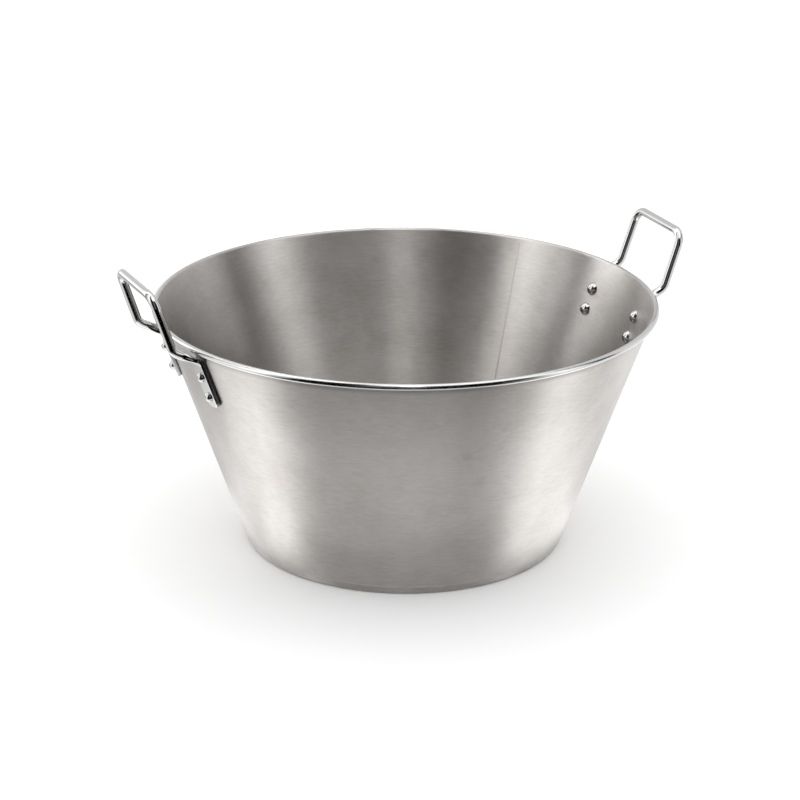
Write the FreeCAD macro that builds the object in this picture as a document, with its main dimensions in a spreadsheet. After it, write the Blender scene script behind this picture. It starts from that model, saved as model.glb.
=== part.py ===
import FreeCAD, Part
import math
import os
import Sketcher
from FreeCAD import Placement, Rotation, Vector

# Open conical brew kettle: a sloping sheet wall with a curled rim, a dished base welded to it,
# and two bent-rod handles, each held by four rivets. Millimetres, +Z up, origin at the centre
# of the base's underside, handles along X and both leaning a little towards -Y.

# alias, value, meaning
SIZES = [
    ("rim_radius", 250.0, "outer radius of the rolled rim"),
    ("kettle_height", 247.0, "floor to the top of the rim"),
    ("base_radius", 161.5, "outer radius at the base corner"),
    ("corner_radius", 5.0, "outer radius of the base corner"),
    ("bead_radius", 3.0, "outer radius of the rolled bead"),
    ("bead_wrap", 285.0, "turn of the rolled bead, degrees"),
    ("sheet_gauge", 1.0, "sheet thickness of the wall and the base"),
    ("weld_height", 9.0, "height of the base-to-wall weld on the outside"),
    ("handle_skew", 1.7, "turn of each handle off the diameter, degrees"),
    ("rod_radius", 4.3, "radius of the handle rod"),
    ("leg_offset", 48.6, "handle centre plane to a strap, at the wall"),
    ("shoulder_offset", 48.6, "handle centre plane to the shoulder bend"),
    ("crown_offset", 47.7, "handle centre plane to a crown corner"),
    ("shoulder_reach", 11.2, "shoulder bend beyond the rim"),
    ("crown_reach", 29.3, "crown bar beyond the rim"),
    ("crown_rise", 51.2, "crown bar above the rim"),
    ("shoulder_lift", 11.8, "shoulder bend above the knee bend"),
    ("knee_gap", 5.5, "rod at the knee below the bead"),
    ("crown_bend", 14.0, "centreline radius of the crown corners"),
    ("shoulder_bend", 13.0, "centreline radius of the shoulder bend"),
    ("knee_bend", 8.0, "centreline radius of the knee bend"),
    ("forge_lead", 15.0, "run over which the rod flattens to the strap, ending at the knee"),
    ("strap_width", 17.0, "width of the flattened strap"),
    ("strap_gauge", 4.2, "thickness of the flattened strap"),
    ("strap_edge", 1.1, "edge radius of the strap"),
    ("strap_toe", 5.0, "corner radius of the strap's lower end"),
    ("strap_margin", 11.5, "lower rivet to the strap's lower end"),
    ("rivet_drop", 41.2, "rim to the middle of a rivet pair"),
    ("rivet_pitch", 22.1, "upper rivet to lower rivet, along the strap"),
    ("shank_radius", 2.5, "rivet shank radius"),
    ("hole_clearance", 0.1, "radial clearance of the shank in its holes"),
    ("seat_gap", 0.04, "strap to wall at the strap's centre line"),
    ("head_gap", 0.14, "inner head to wall at the shank, where the wall curves away"),
    ("inner_head_radius", 6.75, "inner rivet head"),
    ("inner_head_rise", 4.6, "inner rivet head"),
    ("outer_head_radius", 5.0, "outer rivet head"),
    ("outer_head_rise", 4.2, "outer rivet head"),
]

# alias, formula, meaning
DERIVED = [
    ("taper_run", "=rim_radius - bead_radius - base_radius + corner_radius",
     "base corner centre to bead centre, across"),
    ("taper_rise", "=kettle_height - bead_radius - corner_radius",
     "base corner centre to bead centre, up"),
    ("wall_lean", "=atan(taper_run / taper_rise)"
     " - asin((bead_radius - sheet_gauge + corner_radius) / sqrt(taper_run ^ 2 + taper_rise ^ 2))",
     "wall from the vertical: the outside line is tangent to the corner and to the bead's inside"),
]

SIDES = (("right", 0.0, -1.0), ("left", 180.0, 1.0))
LEGS = ((1.0, "outer"), (-1.0, "inner"))


def make_sheet(doc):
    """The spreadsheet of driving sizes, and the formulas that follow from them."""
    sheet = doc.addObject("Spreadsheet::Sheet", "Sizes")
    for row, (alias, value, meaning) in enumerate(SIZES + DERIVED, start=1):
        sheet.set(f"A{row}", alias)
        sheet.set(f"B{row}", str(value))
        sheet.set(f"C{row}", meaning)
        sheet.setAlias(f"B{row}", alias)
    doc.recompute()
    return sheet


def read_sizes(sheet):
    """Every cell of the sheet as a plain number, by its alias."""
    numbers = {}
    for alias, _, _ in SIZES + DERIVED:
        cell = getattr(sheet, alias)
        numbers[alias] = float(getattr(cell, "Value", cell))
    return numbers


def polar(radius, degrees):
    """A point of a sketch at this radius and angle."""
    angle = math.radians(degrees)
    return Vector(radius * math.cos(angle), radius * math.sin(angle), 0)


class Outline:
    """A closed sketch on one of its body's origin planes, sized by the spreadsheet."""

    def __init__(self, body, name, role):
        self.sketch = body.newObject("Sketcher::SketchObject", name)
        planes = [item for item in body.Origin.OriginFeatures if item.Role == role]
        self.sketch.AttachmentSupport = [(planes[0], "")]
        self.sketch.MapMode = "FlatFace"

    def line(self, start, end):
        return self.sketch.addGeometry(Part.LineSegment(start, end), False)

    def arc(self, centre, radius, first, last):
        circle = Part.Circle(centre, Vector(0, 0, 1), radius)
        span = (math.radians(first), math.radians(last))
        return self.sketch.addGeometry(Part.ArcOfCircle(circle, *span), False)

    def fix(self, *constraint):
        return self.sketch.addConstraint(Sketcher.Constraint(*constraint))

    def size(self, name, expression, *constraint):
        """A named dimension, bound to the spreadsheet."""
        index = self.fix(*constraint)
        self.sketch.renameConstraint(index, name)
        self.sketch.setExpression(f"Constraints.{name}", expression)


def revolve(doc, body, outline):
    """Turn a body's outline a full turn about its vertical axis."""
    turned = body.newObject("PartDesign::Revolution", f"{body.Name}_turned")
    turned.Profile = outline.sketch
    turned.ReferenceAxis = (outline.sketch, ["V_Axis"])
    turned.Angle = 360.0
    outline.sketch.Visibility = False
    doc.recompute()
    return body


def wall_normal(v):
    """Outward direction across the wall in a half section, and the direction up along it."""
    lean = math.radians(v["wall_lean"])
    across = Vector(math.cos(lean), -math.sin(lean), 0)
    along = Vector(math.sin(lean), math.cos(lean), 0)
    return across, along


def corner_centre(v):
    return Vector(v["base_radius"] - v["corner_radius"], v["corner_radius"], 0)


def weld_point(v):
    """Outer end of the weld between base and wall, in a half section."""
    across, along = wall_normal(v)
    foot = corner_centre(v) + across * v["corner_radius"]
    return foot + along * ((v["weld_height"] - foot.y) / along.y)


def make_wall_shell(doc, v):
    """Conical wall with its top edge curled outward into a round bead."""
    body = doc.addObject("PartDesign::Body", "wall_shell")
    outline = Outline(body, "wall_outline", "XZ_Plane")
    across, _ = wall_normal(v)
    gauge = v["sheet_gauge"]
    bead = v["bead_radius"]
    centre = Vector(v["rim_radius"] - bead, v["kettle_height"] - bead, 0)
    weld_out = weld_point(v)
    weld_in = weld_out - across * gauge
    last = 180.0 - v["wall_lean"]
    first = last - v["bead_wrap"]
    outside = outline.line(weld_out, centre + polar(bead - gauge, last))
    curl_in = outline.arc(centre, bead - gauge, first, last)
    lip = outline.line(centre + polar(bead - gauge, first), centre + polar(bead, first))
    curl_out = outline.arc(centre, bead, first, last)
    inside = outline.line(centre + polar(bead, last), weld_in)
    weld = outline.line(weld_in, weld_out)
    outline.fix("Tangent", outside, 2, curl_in, 2)
    outline.fix("Coincident", curl_in, 1, lip, 1)
    outline.fix("Coincident", lip, 2, curl_out, 1)
    outline.fix("Tangent", curl_out, 2, inside, 1)
    outline.fix("Coincident", inside, 2, weld, 1)
    outline.fix("Coincident", weld, 2, outside, 1)
    outline.fix("Coincident", curl_in, 3, curl_out, 3)
    outline.fix("Perpendicular", weld, outside)
    outline.size("bead_inside", "Sizes.bead_radius - Sizes.sheet_gauge",
                 "Radius", curl_in, bead - gauge)
    outline.size("bead_outside", "Sizes.bead_radius", "Radius", curl_out, bead)
    outline.size("bead_across", "Sizes.rim_radius - Sizes.bead_radius",
                 "DistanceX", -1, 1, curl_out, 3, centre.x)
    outline.size("bead_up", "Sizes.kettle_height - Sizes.bead_radius",
                 "DistanceY", -1, 1, curl_out, 3, centre.y)
    outline.size("outside_rise", "90 deg - Sizes.wall_lean",
                 "Angle", outside, math.radians(90.0 - v["wall_lean"]))
    outline.size("inside_rise", "-90 deg - Sizes.wall_lean",
                 "Angle", inside, math.radians(-90.0 - v["wall_lean"]))
    outline.size("weld_up", "Sizes.weld_height", "DistanceY", -1, 1, outside, 1, weld_out.y)
    outline.size("lip_turn", "180 deg - Sizes.wall_lean - Sizes.bead_wrap * 1 deg",
                 "Angle", lip, math.radians(first))
    return revolve(doc, body, outline)


def make_base(doc, v):
    """Flat base with a turned-up corner that carries on into the line of the wall."""
    body = doc.addObject("PartDesign::Body", "kettle_base")
    outline = Outline(body, "base_outline", "XZ_Plane")
    across, _ = wall_normal(v)
    gauge = v["sheet_gauge"]
    corner = v["corner_radius"]
    centre = corner_centre(v)
    lean = v["wall_lean"]
    weld_out = weld_point(v)
    weld_in = weld_out - across * gauge
    under = outline.line(Vector(0, 0, 0), Vector(centre.x, 0, 0))
    corner_out = outline.arc(centre, corner, -90.0, -lean)
    outside = outline.line(centre + polar(corner, -lean), weld_out)
    weld = outline.line(weld_out, weld_in)
    inside = outline.line(weld_in, centre + polar(corner - gauge, -lean))
    corner_in = outline.arc(centre, corner - gauge, -90.0, -lean)
    floor = outline.line(Vector(centre.x, gauge, 0), Vector(0, gauge, 0))
    axis = outline.line(Vector(0, gauge, 0), Vector(0, 0, 0))
    outline.fix("Coincident", under, 1, -1, 1)
    outline.fix("Tangent", under, 2, corner_out, 1)
    outline.fix("Tangent", corner_out, 2, outside, 1)
    outline.fix("Coincident", outside, 2, weld, 1)
    outline.fix("Coincident", weld, 2, inside, 1)
    outline.fix("Tangent", inside, 2, corner_in, 2)
    outline.fix("Tangent", corner_in, 1, floor, 1)
    outline.fix("Coincident", floor, 2, axis, 1)
    outline.fix("Coincident", axis, 2, under, 1)
    outline.fix("Horizontal", under)
    outline.fix("Vertical", axis)
    outline.fix("Coincident", corner_in, 3, corner_out, 3)
    outline.fix("Perpendicular", weld, outside)
    outline.size("corner_outside", "Sizes.corner_radius", "Radius", corner_out, corner)
    outline.size("corner_inside", "Sizes.corner_radius - Sizes.sheet_gauge",
                 "Radius", corner_in, corner - gauge)
    outline.size("corner_across", "Sizes.base_radius - Sizes.corner_radius",
                 "DistanceX", -1, 1, corner_out, 3, centre.x)
    outline.size("outside_rise", "90 deg - Sizes.wall_lean",
                 "Angle", outside, math.radians(90.0 - lean))
    outline.size("weld_up", "Sizes.weld_height", "DistanceY", -1, 1, outside, 2, weld_out.y)
    return revolve(doc, body, outline)


def make_rivet(doc, v, label, placement):
    """Domed rivet: origin on its axis at the wall's outer face, +Z pointing outward."""
    body = doc.addObject("PartDesign::Body", label)
    outline = Outline(body, f"{label}_outline", "XZ_Plane")
    shank = v["shank_radius"]
    low = -v["sheet_gauge"] - v["head_gap"]
    high = v["seat_gap"] + v["strap_gauge"]
    low_width = v["inner_head_radius"]
    high_width = v["outer_head_radius"]
    low_ball = (low_width ** 2 + v["inner_head_rise"] ** 2) / (2 * v["inner_head_rise"])
    high_ball = (high_width ** 2 + v["outer_head_rise"] ** 2) / (2 * v["outer_head_rise"])
    low_centre = Vector(0, low - v["inner_head_rise"] + low_ball, 0)
    high_centre = Vector(0, high + v["outer_head_rise"] - high_ball, 0)
    low_turn = math.degrees(math.atan2(low - low_centre.y, low_width))
    high_turn = math.degrees(math.atan2(high - high_centre.y, high_width))
    dome_in = outline.arc(low_centre, low_ball, -90.0, low_turn)
    seat_in = outline.line(Vector(low_width, low, 0), Vector(shank, low, 0))
    side = outline.line(Vector(shank, low, 0), Vector(shank, high, 0))
    seat_out = outline.line(Vector(shank, high, 0), Vector(high_width, high, 0))
    dome_out = outline.arc(high_centre, high_ball, high_turn, 90.0)
    axis = outline.line(high_centre + Vector(0, high_ball, 0), low_centre - Vector(0, low_ball, 0))
    outline.fix("Coincident", dome_in, 2, seat_in, 1)
    outline.fix("Coincident", seat_in, 2, side, 1)
    outline.fix("Coincident", side, 2, seat_out, 1)
    outline.fix("Coincident", seat_out, 2, dome_out, 1)
    outline.fix("Coincident", dome_out, 2, axis, 1)
    outline.fix("Coincident", axis, 2, dome_in, 1)
    outline.fix("PointOnObject", dome_in, 3, -2)
    outline.fix("PointOnObject", dome_out, 3, -2)
    outline.fix("PointOnObject", dome_in, 1, -2)
    outline.fix("PointOnObject", dome_out, 2, -2)
    outline.fix("Horizontal", seat_in)
    outline.fix("Horizontal", seat_out)
    outline.fix("Vertical", side)
    outline.size("shank", "Sizes.shank_radius", "DistanceX", -1, 1, side, 1, shank)
    outline.size("inner_width", "Sizes.inner_head_radius", "DistanceX", -1, 1, seat_in, 1, low_width)
    outline.size("outer_width", "Sizes.outer_head_radius", "DistanceX", -1, 1, seat_out, 2, high_width)
    outline.size("inner_seat", "Sizes.sheet_gauge + Sizes.head_gap",
                 "DistanceY", seat_in, 1, -1, 1, -low)
    outline.size("outer_seat", "Sizes.seat_gap + Sizes.strap_gauge",
                 "DistanceY", -1, 1, seat_out, 1, high)
    outline.size("inner_rise", "Sizes.inner_head_rise",
                 "DistanceY", dome_in, 1, dome_in, 2, v["inner_head_rise"])
    outline.size("outer_rise", "Sizes.outer_head_rise",
                 "DistanceY", dome_out, 1, dome_out, 2, v["outer_head_rise"])
    revolve(doc, body, outline)
    body.Placement = placement
    return body


def side_placement(v, heading, lean):
    """The handle frame of one side: origin on the kettle's axis, +X towards the handle."""
    return Placement(Vector(0, 0, 0), Rotation(Vector(0, 0, 1), heading + lean * v["handle_skew"]))


def leg_frame(v, leg):
    """Where a leg's rivet pair is centred on the wall's outer face, in the handle frame.

    Returns the point, the outward direction across the strap, the direction up along it and
    the direction to its side.
    """
    foot = weld_point(v)
    height = v["kettle_height"] - v["rivet_drop"]
    lean = math.radians(v["wall_lean"])
    radius = foot.x + (height - foot.y) * math.tan(lean)
    turn = math.asin(leg * v["leg_offset"] / radius)
    point = Vector(radius * math.cos(turn), radius * math.sin(turn), height)
    out = Vector(math.cos(lean) * math.cos(turn), math.cos(lean) * math.sin(turn), -math.sin(lean))
    up = Vector(math.tan(lean) / math.cos(turn), 0, 1).normalize()
    return point, out, up, up.cross(out)


def rivet_points(v, leg):
    """The upper and lower rivet of a leg on the wall's outer face, in the handle frame."""
    point, _, up, _ = leg_frame(v, leg)
    half = up * (v["rivet_pitch"] / 2)
    return (("upper", point + half), ("lower", point - half))


def rivet_placement(v, leg, point):
    _, out, _, _ = leg_frame(v, leg)
    return Placement(point, Rotation(Vector(0, 0, 1), out))


def knee_point(v, leg):
    """Corner of the rod's centre line where it turns down along the wall."""
    point, out, up, _ = leg_frame(v, leg)
    start = point + out * (v["seat_gap"] + v["strap_gauge"] / 2)
    height = v["kettle_height"] - 2 * v["bead_radius"] - v["rod_radius"] - v["knee_gap"]
    return start + up * ((height - start.z) / up.z)


def handle_corners(v):
    """Corners of the rod's centre line with their bend radii, knee to knee."""
    shoulder = Vector(v["rim_radius"] + v["shoulder_reach"], v["shoulder_offset"],
                      knee_point(v, 1).z + v["shoulder_lift"])
    crown = Vector(v["rim_radius"] + v["crown_reach"], v["crown_offset"],
                   v["kettle_height"] + v["crown_rise"])
    half = [(shoulder, v["shoulder_bend"]), (crown, v["crown_bend"])]
    other = [(Vector(at.x, -at.y, at.z), bend) for at, bend in reversed(half)]
    return half + other


def bend(before, corner, after, radius):
    """Tangent arc at a corner: its start, middle and end."""
    back = (before - corner).normalize()
    ahead = (after - corner).normalize()
    half = back.getAngle(ahead) / 2
    setback = radius / math.tan(half)
    bisector = (back + ahead).normalize()
    middle = corner + bisector * (radius / math.sin(half) - radius)
    return corner + back * setback, middle, corner + ahead * setback


def taper_start(v, leg):
    """Where the round rod begins to flatten, and the direction from there to the knee."""
    shoulder = handle_corners(v)[0][0]
    if leg < 0:
        shoulder = Vector(shoulder.x, -shoulder.y, shoulder.z)
    knee = knee_point(v, leg)
    _, _, up, _ = leg_frame(v, leg)
    start, _, _ = bend(shoulder, knee, knee - up, v["knee_bend"])
    inward = (knee - shoulder).normalize()
    return start - inward * v["forge_lead"], inward


def rod_wire(v):
    """The round rod's centre line: straight runs joined by tangent arcs."""
    corners = handle_corners(v)
    first, _ = taper_start(v, 1)
    last, _ = taper_start(v, -1)
    points = [first] + [at for at, _ in corners] + [last]
    edges = []
    here = first
    for index, (at, radius) in enumerate(corners, start=1):
        start, middle, end = bend(points[index - 1], at, points[index + 1], radius)
        edges.append(Part.LineSegment(here, start).toShape())
        edges.append(Part.Arc(start, middle, end).toShape())
        here = end
    edges.append(Part.LineSegment(here, last).toShape())
    return Part.Wire(edges)


def section_points(half_width, half_gauge, edge):
    """Sixteen points round a rounded rectangle: eight ends and eight middles of its edges."""
    flat = half_width - edge
    rise = half_gauge - edge
    notch = edge * math.sqrt(0.5)
    quarter = [(half_width, 0), (half_width, rise), (flat + notch, rise + notch), (flat, half_gauge)]
    half = quarter + [(0, half_gauge)] + [(-x, y) for x, y in reversed(quarter[1:])]
    return half + [(-x, -y) for x, y in half]


def round_points(radius):
    """Sixteen points round the rod, in the order of section_points."""
    steps = [index * 22.5 for index in range(16)]
    return [(radius * math.cos(math.radians(a)), radius * math.sin(math.radians(a))) for a in steps]


def section_wire(points, at, side, front):
    """Closed wire of four flats and four corners, each an arc or a line through its points."""
    spots = [at + side * x + front * y for x, y in points]
    edges = []
    for index in range(8):
        first = spots[2 * index - 1]
        middle = spots[2 * index]
        last = spots[(2 * index + 1) % 16]
        if middle.distanceToLine(first, last - first) < 1e-6:
            edges.append(Part.LineSegment(first, last).toShape())
        else:
            edges.append(Part.Arc(first, middle, last).toShape())
    return Part.Wire(edges)


def taper_sections(v, leg):
    """Sections of the forged leg: the round rod flattens before the knee, which bends flat."""
    _, _, up, side = leg_frame(v, leg)
    start, inward = taper_start(v, leg)
    knee = knee_point(v, leg)
    arc = Part.Arc(*bend(start, knee, knee - up, v["knee_bend"])).toShape()
    stations = []
    for index in range(7):
        share = index / 6
        flatness = share * share * (3 - 2 * share)
        stations.append((start + inward * (v["forge_lead"] * share), inward, flatness))
    for index in range(1, 7):
        parameter = arc.FirstParameter + (arc.LastParameter - arc.FirstParameter) * index / 6
        stations.append((arc.valueAt(parameter), arc.tangentAt(parameter), 1.0))
    rod = round_points(v["rod_radius"])
    flat = section_points(v["strap_width"] / 2, v["strap_gauge"] / 2, v["strap_edge"])
    wires = []
    for at, ahead, flatness in stations:
        across = (side - ahead * side.dot(ahead)).normalize()
        front = across.cross(ahead)
        points = [(a * (1 - flatness) + c * flatness, b * (1 - flatness) + d * flatness)
                  for (a, b), (c, d) in zip(rod, flat)]
        wires.append(section_wire(points, at, across, front))
    return wires, stations[-1][0]


def make_leg(doc, v, label, leg):
    """Forged taper and flat strap of one leg, with the strap's lower corners rounded off."""
    point, out, up, side = leg_frame(v, leg)
    wires, strap_top = taper_sections(v, leg)
    taper = Part.makeLoft(wires, True, True)
    lower_end = v["rivet_pitch"] / 2 + v["strap_margin"]
    middle = point + out * (v["seat_gap"] + v["strap_gauge"] / 2)
    length = (strap_top - middle).dot(up) + lower_end
    strap = Part.Face(wires[-1]).extrude(up * -length)
    blank = Part.makeBox(v["strap_width"], length, 2 * v["strap_gauge"])
    toes = [edge for edge in blank.Edges
            if edge.BoundBox.ZLength > v["strap_gauge"] and edge.BoundBox.YMax < length / 2]
    blank = blank.makeFillet(v["strap_toe"], toes)
    turn = Rotation(up.cross(out), up, out, "XYZ")
    corner = middle - up * lower_end - turn.multVec(Vector(v["strap_width"] / 2, 0, 0))
    blank.Placement = Placement(corner - out * v["strap_gauge"], turn)
    leg_part = doc.addObject("Part::Feature", label)
    leg_part.Shape = taper.fuse(strap.common(blank)).removeSplitter().Solids[0]
    return leg_part


def make_rivet_hole(doc, v, label, leg, point):
    """Round cutter on a rivet's axis, through the wall and the strap."""
    hole = doc.addObject("Part::Cylinder", label)
    hole.setExpression("Radius", "Sizes.shank_radius + Sizes.hole_clearance")
    hole.setExpression("Height", "2 * (Sizes.sheet_gauge + Sizes.strap_gauge)")
    inset = Placement(Vector(0, 0, -v["sheet_gauge"] - v["strap_gauge"] / 2), Rotation())
    hole.Placement = rivet_placement(v, leg, point).multiply(inset)
    return hole


def make_rivet_holes(doc, v, label, placement):
    """The four rivet holes of one handle as one tool."""
    holes = []
    for leg, leg_name in LEGS:
        for level, point in rivet_points(v, leg):
            name = f"{label}_hole_{leg_name}_{level}"
            holes.append(make_rivet_hole(doc, v, name, leg, point))
    tool = doc.addObject("Part::MultiFuse", f"{label}_holes")
    tool.Shapes = holes
    tool.Placement = placement
    return tool


def make_handle(doc, v, label, placement):
    """Rod loop swept along its centre line, two forged legs and four rivet holes."""
    path = doc.addObject("Part::Feature", f"{label}_path")
    path.Shape = rod_wire(v)
    circle = doc.addObject("Part::Circle", f"{label}_section")
    circle.setExpression("Radius", "Sizes.rod_radius")
    start, inward = taper_start(v, 1)
    circle.Placement = Placement(start, Rotation(Vector(0, 0, 1), -inward))
    rod = doc.addObject("Part::Sweep", f"{label}_rod")
    rod.Sections = [circle]
    rod.Spine = (path, [f"Edge{index + 1}" for index in range(len(path.Shape.Edges))])
    rod.Solid = True
    rod.Frenet = False
    legs = [make_leg(doc, v, f"{label}_leg_{name}", leg) for leg, name in LEGS]
    blank = doc.addObject("Part::MultiFuse", f"{label}_blank")
    blank.Shapes = [rod] + legs
    handle = doc.addObject("Part::Cut", label)
    handle.Base = blank
    handle.Tool = make_rivet_holes(doc, v, f"{label}_own", Placement())
    doc.recompute()
    handle.Placement = placement
    return handle


def make_wall(doc, v):
    """The wall shell with its eight rivet holes."""
    shell = make_wall_shell(doc, v)
    tools = []
    for side, heading, lean in SIDES:
        placement = side_placement(v, heading, lean)
        tools.append(make_rivet_holes(doc, v, f"wall_{side}", placement))
    cutter = doc.addObject("Part::MultiFuse", "wall_holes")
    cutter.Shapes = tools
    wall = doc.addObject("Part::Cut", "kettle_wall")
    wall.Base = shell
    wall.Tool = cutter
    return wall


def leg_side(side, leg):
    """Front is -Y: the +Y leg of the right handle is at the rear, that of the left in front."""
    return "rear" if (leg > 0) == (side == "right") else "front"


def build(doc):
    """Every sub-part of the kettle."""
    v = read_sizes(make_sheet(doc))
    nodes = [make_wall(doc, v), make_base(doc, v)]
    for side, heading, lean in SIDES:
        placement = side_placement(v, heading, lean)
        nodes.append(make_handle(doc, v, f"handle_{side}", placement))
        for leg, _ in LEGS:
            for level, point in rivet_points(v, leg):
                seat = placement.multiply(rivet_placement(v, leg, point))
                nodes.append(make_rivet(doc, v, f"rivet_{side}_{leg_side(side, leg)}_{level}", seat))
    return nodes


def check(doc, nodes):
    """Stop if any object failed to compute or any sub-part has no valid solid."""
    doc.recompute()
    for item in doc.Objects:
        if "Invalid" in item.State or "Error" in item.State:
            raise RuntimeError(f"{item.Label} did not compute: {item.State}")
    for node in nodes:
        if node.Shape.isNull() or not node.Shape.isValid() or len(node.Shape.Solids) != 1:
            raise RuntimeError(f"{node.Label} is not one valid solid")


def main():
    doc = FreeCAD.newDocument("brew_kettle")
    nodes = build(doc)
    check(doc, nodes)
    os.makedirs("parts", exist_ok=True)
    for node in nodes:
        node.Shape.exportStep(f"parts/{node.Label}.step")
        box = node.Shape.BoundBox
        print(f"{node.Label}: {node.Shape.Volume:.0f} mm3, z {box.ZMin:.2f} to {box.ZMax:.2f}")


main()
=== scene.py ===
"""Open conical brew kettle: a sloping sheet wall with a rolled rim, a pressed base welded to it,
and two bent-rod handles, each held by four domed rivets.

Metres, +Z up, origin at the centre of the base's underside, handles along X, front towards -Y.
"""

import math

import bpy
import numpy as np
from bpy.props import FloatProperty, FloatVectorProperty, PointerProperty
from bpy.types import Operator, Panel, PropertyGroup
from mathutils import Matrix, Vector


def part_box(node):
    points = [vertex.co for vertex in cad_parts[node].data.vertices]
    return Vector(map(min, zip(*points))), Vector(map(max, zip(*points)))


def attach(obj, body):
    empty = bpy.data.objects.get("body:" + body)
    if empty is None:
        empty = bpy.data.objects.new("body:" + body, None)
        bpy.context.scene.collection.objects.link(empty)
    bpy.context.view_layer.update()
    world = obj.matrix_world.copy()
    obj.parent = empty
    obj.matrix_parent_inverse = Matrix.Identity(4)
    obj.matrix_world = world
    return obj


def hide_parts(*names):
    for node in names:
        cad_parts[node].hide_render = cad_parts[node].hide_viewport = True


bl_info = {
    "name": "Brew Kettle",
    "version": (1, 0, 0),
    "blender": (4, 5, 0),
    "location": "3D View > Sidebar > Brew Kettle",
    "description": "Conical brew kettle with a rolled rim, a welded base and riveted rod handles",
    "category": "Add Mesh",
}

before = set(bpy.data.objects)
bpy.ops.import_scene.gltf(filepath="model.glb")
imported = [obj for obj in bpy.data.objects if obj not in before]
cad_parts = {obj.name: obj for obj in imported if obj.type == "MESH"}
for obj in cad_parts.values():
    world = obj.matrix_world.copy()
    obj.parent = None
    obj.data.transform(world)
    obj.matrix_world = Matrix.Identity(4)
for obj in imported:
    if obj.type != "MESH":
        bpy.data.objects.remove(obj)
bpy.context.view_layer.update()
WALL_LOW, WALL_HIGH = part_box("kettle_wall")

MM = 0.001

# Each handle's name, its heading about the axis in degrees and the sense of its skew.
SIDES = (("right", 0.0, -1.0), ("left", 180.0, 1.0))

# A leg is 1 or -1, its side of the handle's own centre plane.
LEG_NAMES = {("right", 1): "rear", ("right", -1): "front",
             ("left", 1): "front", ("left", -1): "rear"}


def length(name, description, value):
    """A size in metres that is never negative."""
    return FloatProperty(name=name, description=description, default=value, min=0.0,
                         unit="LENGTH", precision=4)


def colour(name, description, value):
    """A finish's base colour."""
    return FloatVectorProperty(name=name, description=description, default=value, size=3,
                               min=0.0, max=1.0, subtype="COLOR")


class KettleSizes(PropertyGroup):
    """The sizes that shape the wall, the base, the handles and the rivets."""

    rim_radius: length("Rim radius", "Outside of the rolled rim", WALL_HIGH.x)
    height: length("Height", "Floor to the top of the rim", WALL_HIGH.z)
    base_radius: length("Base radius", "Outside of the base at its corner", 161.5 * MM)
    corner_radius: length("Base corner", "Outer radius of the base corner", 5 * MM)
    bead_radius: length("Bead radius", "Outer radius of the rolled rim's curl", 3 * MM)
    sheet: length("Sheet", "Thickness of the wall and the base", 1 * MM)
    weld_height: length("Weld height", "Weld of the base to the wall, above the floor", WALL_LOW.z)
    seam_azimuth: FloatProperty(name="Wall seam", description="Turn of the wall's upright seam",
                                default=math.radians(36.5), subtype="ANGLE")
    handle_skew: FloatProperty(name="Handle skew", description="Turn of a handle to the front",
                               default=math.radians(1.7), subtype="ANGLE")
    rod_radius: length("Rod radius", "Radius of the handle rod", 4.3 * MM)
    leg_offset: length("Strap spread", "Handle centre plane to a strap at the wall", 48.6 * MM)
    crown_offset: length("Crown spread", "Handle centre plane to a crown corner", 47.7 * MM)
    shoulder_reach: length("Shoulder reach", "Shoulder bend beyond the rim", 11.2 * MM)
    crown_reach: length("Crown reach", "Crown bar beyond the rim", 29.3 * MM)
    crown_rise: length("Crown rise", "Crown bar above the rim", 51.2 * MM)
    shoulder_lift: length("Shoulder lift", "Shoulder bend above the knee", 11.8 * MM)
    strap_width: length("Strap width", "Width of the flattened strap", 17 * MM)
    strap_gauge: length("Strap gauge", "Thickness of the flattened strap", 4.2 * MM)
    rivet_drop: length("Rivet drop", "Rim to the middle of a rivet pair", 41.2 * MM)
    rivet_pitch: length("Rivet pitch", "Upper rivet to lower rivet", 22.1 * MM)
    shank_radius: length("Shank", "Radius of a rivet's shank", 2.5 * MM)
    inner_head: length("Inner head", "Radius of the rivet head inside", 6.75 * MM)
    inner_rise: length("Inner rise", "Height of the rivet head inside", 4.6 * MM)
    outer_head: length("Outer head", "Radius of the rivet head outside", 5 * MM)
    outer_rise: length("Outer rise", "Height of the rivet head outside", 4.2 * MM)


class KettleColours(PropertyGroup):
    """Colours of the steel finishes and of the stage."""

    brushed_light: colour("Brushed, light", "Tops of the brush lines", (0.50, 0.483, 0.468))
    brushed_dark: colour("Brushed, dark", "Valleys of the brush lines", (0.375, 0.354, 0.336))
    polished: colour("Polished", "Handles, rim and rivets", (0.47, 0.47, 0.465))
    weld: colour("Weld", "Ground weld metal", (0.40, 0.39, 0.378))
    floor: colour("Floor", "Pale studio floor", (0.90, 0.90, 0.90))


# ---------------------------------------------------------------- curves and surfaces

SHARP_ANGLE = math.radians(38)


def unit(vector):
    """The vector or rows of vectors divided by their length."""
    return vector / np.linalg.norm(vector, axis=-1, keepdims=True)


def ease(share):
    """0 below 0, 1 above 1, and 3t^2 - 2t^3 between."""
    t = np.clip(share, 0.0, 1.0)
    return t * t * (3.0 - 2.0 * t)


def line(start, end, count):
    """Evenly spaced points from start to end."""
    share = np.linspace(0.0, 1.0, count)[:, None]
    return np.asarray(start) * (1.0 - share) + np.asarray(end) * share


def arc(centre, radius, first, last, count):
    """Points round a centre in a half section, from the first to the last angle in degrees."""
    turn = np.radians(np.linspace(first, last, count))[:, None]
    return np.asarray(centre) + radius * np.hstack([np.cos(turn), np.sin(turn)])


def chain(*runs):
    """Runs joined end to end, with each repeated joint dropped."""
    return np.concatenate([runs[0]] + [run[1:] for run in runs[1:]])


def run_length(points):
    """Distance along a line of points, from its first point."""
    steps = np.linalg.norm(np.diff(points, axis=0), axis=1)
    return np.concatenate([[0.0], np.cumsum(steps)])


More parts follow.
